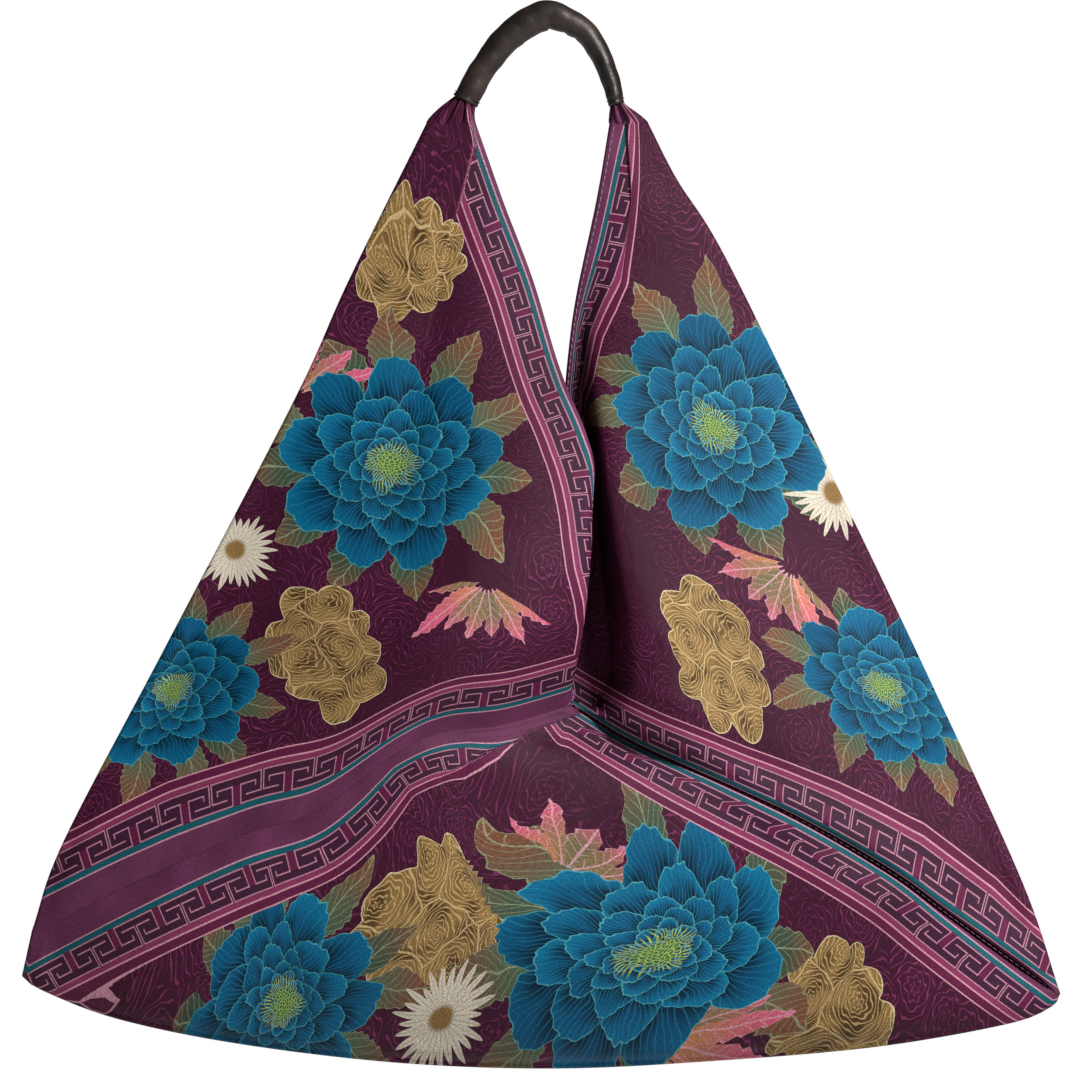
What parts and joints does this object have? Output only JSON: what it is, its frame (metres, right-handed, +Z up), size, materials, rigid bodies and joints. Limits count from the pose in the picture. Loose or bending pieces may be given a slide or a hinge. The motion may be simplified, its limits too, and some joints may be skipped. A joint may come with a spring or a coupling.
{
  "type": "triangle bag",
  "caption": "Soft folded cloth bag of three squares with a notched mouth between two pointed lobes, joined at the top by a short padded leather loop handle.",
  "frame": {"origin": "underside of the handle where it hangs, in the middle of its width", "axes": "+Z up, front of the bag towards -Y, +X to the right as seen from the front"},
  "size_m": [0.699, 0.1264, 0.7191],
  "materials": {
    "sleeve_leather": "dark brown, fine grain, soft sheen",
    "rope_filling": "twisted cotton rope",
    "sewing_thread": "matt polyester thread",
    "printed_cloth": "plum cloth printed with flowers and a fret border",
    "lining_cloth": "plain dark plum lining"
  },
  "bodies": {
    "handle": {"handle_sleeve": "sleeve_leather", "handle_core": "rope_filling", "handle_seam": "sewing_thread", "left_end_stitching": "sewing_thread", "right_end_stitching": "sewing_thread"},
    "bag": {"left_corner": "printed_cloth", "right_corner": "printed_cloth", "left_square": "printed_cloth", "base_square": "printed_cloth", "right_square": "printed_cloth", "left_lining": "lining_cloth", "base_lining": "lining_cloth", "right_lining": "lining_cloth", "front_seam": "sewing_thread", "back_seam": "sewing_thread", "front_left_hem": "sewing_thread", "front_right_hem": "sewing_thread", "back_left_hem": "sewing_thread", "back_right_hem": "sewing_thread"}
  },
  "joints": [
    {"name": "handle_fold", "type": "hinge", "parent": "handle", "child": "bag", "pos_m": [0, 0, -0.0521], "axis": [1, 0, 0], "range_deg": [-90, 90], "deforming": ["left_corner", "right_corner"]}
  ]
}
